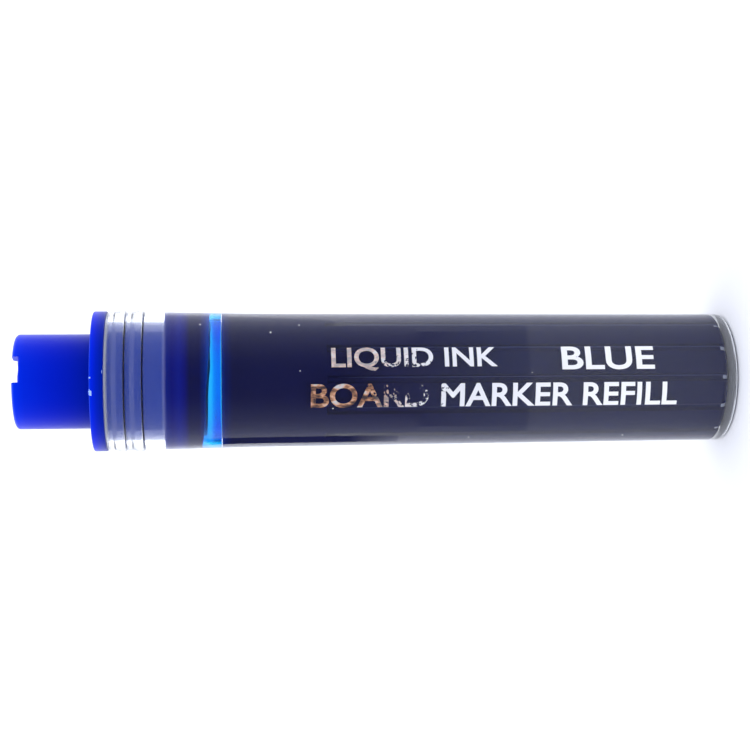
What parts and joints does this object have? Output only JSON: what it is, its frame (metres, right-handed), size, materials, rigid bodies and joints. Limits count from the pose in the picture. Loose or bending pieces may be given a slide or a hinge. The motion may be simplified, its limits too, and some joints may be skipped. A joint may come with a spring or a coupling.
{
  "type": "whiteboard marker ink refill cartridge",
  "caption": "Clear ink refill cartridge for a whiteboard marker, closed by a blue mouth plug with a spigot and a seal ball that the marker's feed pipe pushes in.",
  "frame": {"origin": "centre of the closed base's underside", "axes": "+Z along the cartridge's axis, from the base to the spigot"},
  "size_m": [0.0153, 0.0152, 0.0779],
  "materials": {
    "clear_plastic": "clear moulded plastic, glossy",
    "blue_plastic": "blue moulded plastic, satin",
    "ball_steel": "polished stainless steel",
    "blue_ink": "dark blue liquid ink"
  },
  "bodies": {
    "cartridge": {"ink_tank": "clear_plastic", "mouth_plug": "blue_plastic", "ink": "blue_ink", "skirt_ink": "blue_ink"},
    "seal_ball": {"seal_ball": "ball_steel"}
  },
  "joints": [
    {"name": "ball_drop", "type": "slide", "parent": "cartridge", "child": "seal_ball", "axis": [0, 0, -1], "range_m": [0, 0.0642], "deforming": ["ink"]}
  ]
}
